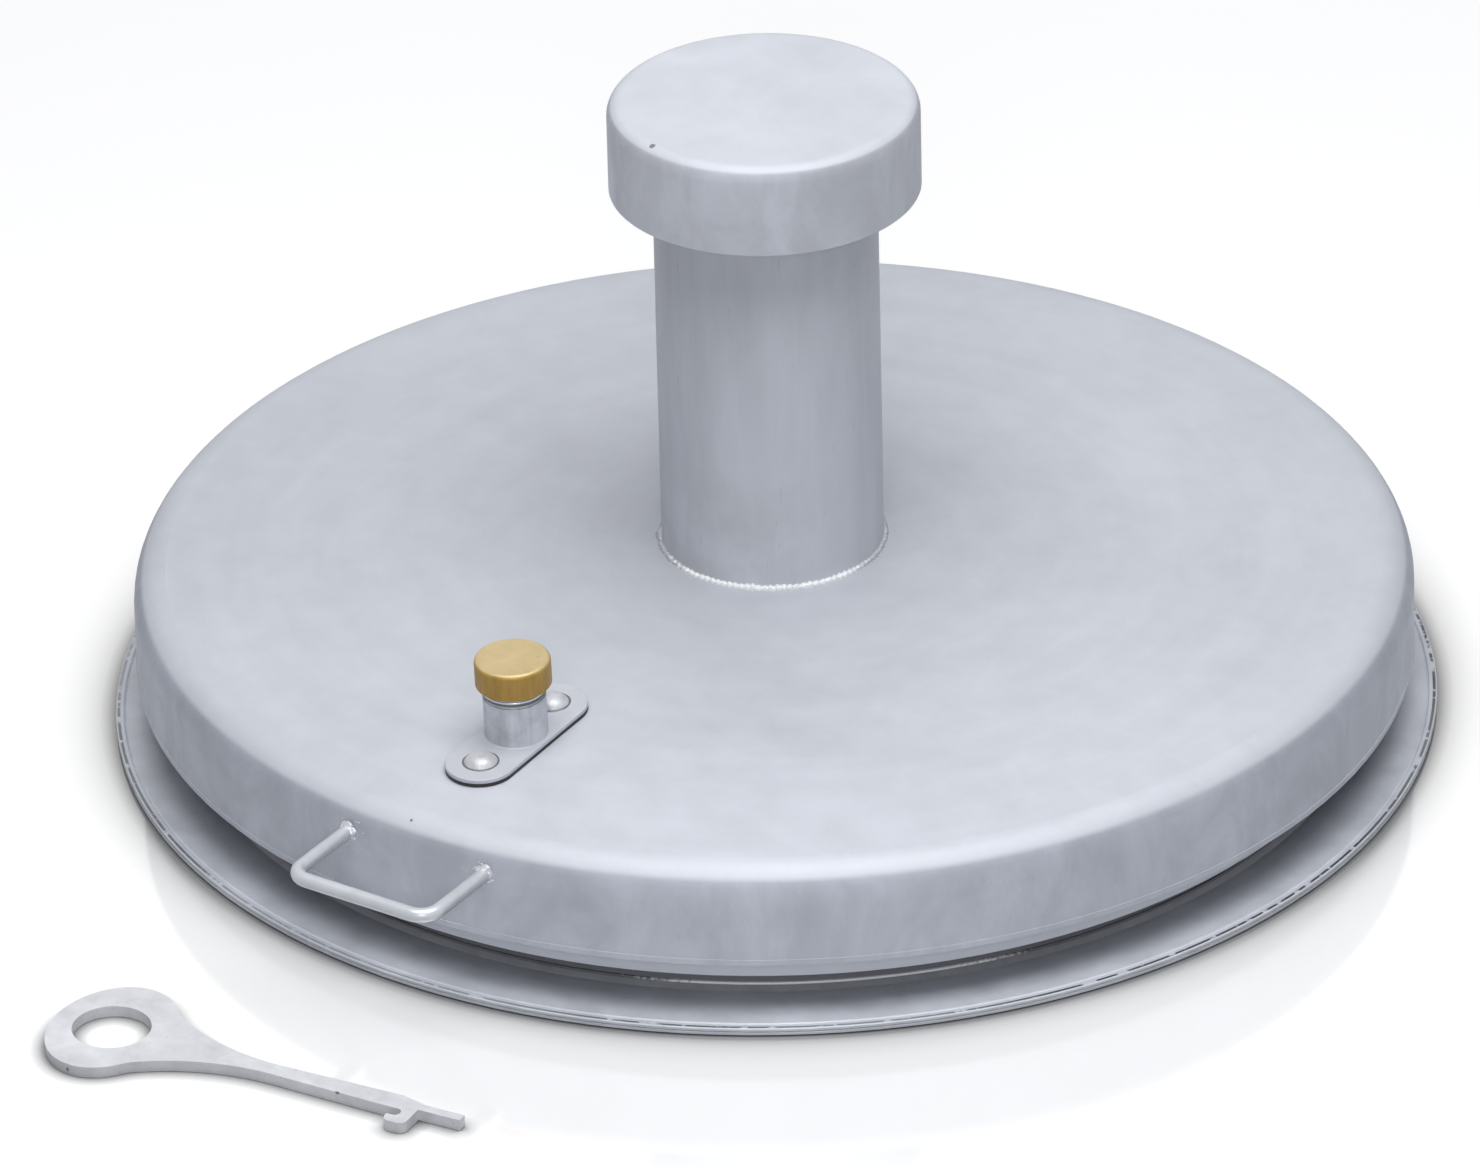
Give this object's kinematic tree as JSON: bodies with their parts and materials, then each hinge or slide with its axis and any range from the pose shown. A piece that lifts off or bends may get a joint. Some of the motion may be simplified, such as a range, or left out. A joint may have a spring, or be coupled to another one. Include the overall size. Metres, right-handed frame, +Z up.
{
  "type": "vented manway cover",
  "caption": "Round hinged manway cover: a flanged shaft frame, a domed lid with a mushroom-hooded vent pipe, a bar handle, a key lock under a brass screw cap, and its flat key.",
  "frame": {"origin": "centre of the frame, in the plane of its underside, which is also the centre of the circle of anchor holes", "axes": "+Z up along the vent pipe, -Y towards the handle and the lock, +Y towards the hinge"},
  "size_m": [0.6829, 0.8633, 0.344],
  "materials": {
    "zinc_sheet": "hot-dip galvanised sheet, dull light grey",
    "zinc_pipe": "galvanised tube, slightly darker, dull",
    "weld_bead": "bright lumpy weld bead",
    "zinc_rod": "galvanised bar and turned tube, light grey",
    "brass": "plain turned brass, dull satin",
    "black_rubber": "black rubber, matte",
    "zinc_fastener": "zinc-plated steel",
    "lock_steel": "plain galvanised steel inside the lock",
    "key_steel": "galvanised flat bar, slightly mottled"
  },
  "bodies": {
    "frame": {"base_flange": "zinc_sheet", "frame_neck": "zinc_sheet", "neck_weld": "weld_bead", "neck_gasket": "black_rubber", "anchor_lugs": "zinc_sheet", "catch_plate": "lock_steel", "hinge_bracket": "zinc_fastener", "hinge_pin": "zinc_fastener", "hinge_clip": "zinc_fastener"},
    "lid": {"lid_shell": "zinc_sheet", "inner_skirt": "zinc_sheet", "vent_pipe": "zinc_pipe", "vent_weld": "weld_bead", "vent_hood": "zinc_sheet", "hood_stays": "zinc_sheet", "insect_screen": "lock_steel", "handle": "zinc_rod", "handle_welds": "weld_bead", "hinge_leaf": "zinc_fastener", "lock_gasket": "black_rubber", "lock_plate": "zinc_rod", "lock_tube": "zinc_rod", "lock_screws": "zinc_fastener", "lock_washers": "zinc_fastener", "lock_nuts": "zinc_fastener", "lock_case": "lock_steel"},
    "lock_bolt": {"lock_bolt": "lock_steel"},
    "cap_seal": {"cap_seal": "black_rubber"},
    "cap": {"brass_cap": "brass"},
    "key": {"key": "key_steel"}
  },
  "joints": [
    {"name": "lid_hinge", "type": "hinge", "parent": "frame", "child": "lid", "pos_m": [0, 0.341, 0.015], "axis": [-1, 0, 0], "range_deg": [0, 95]},
    {"name": "bolt_slide", "type": "slide", "parent": "lid", "child": "lock_bolt", "axis": [0, -0.9992, -0.0391], "range_m": [0, 0.018]},
    {"name": "cap_travel", "type": "slide", "parent": "lid", "child": "cap_seal", "axis": [0, -0.0391, 0.9992], "range_m": [0, 0.0105]},
    {"name": "cap_turn", "type": "hinge", "parent": "cap_seal", "child": "cap", "pos_m": [0, -0.2355, 0.08864], "axis": [0, -0.0391, 0.9992], "range_deg": [0, 2519]},
    {"name": "key_lift", "type": "slide", "parent": "frame", "child": "key", "axis": [0, 0, 1], "range_m": [0, 0.2]}
  ],
  "couplings": [
    {"joint": "cap_travel", "follows": "cap_turn", "m_per_rad": 0.00023873}
  ]
}
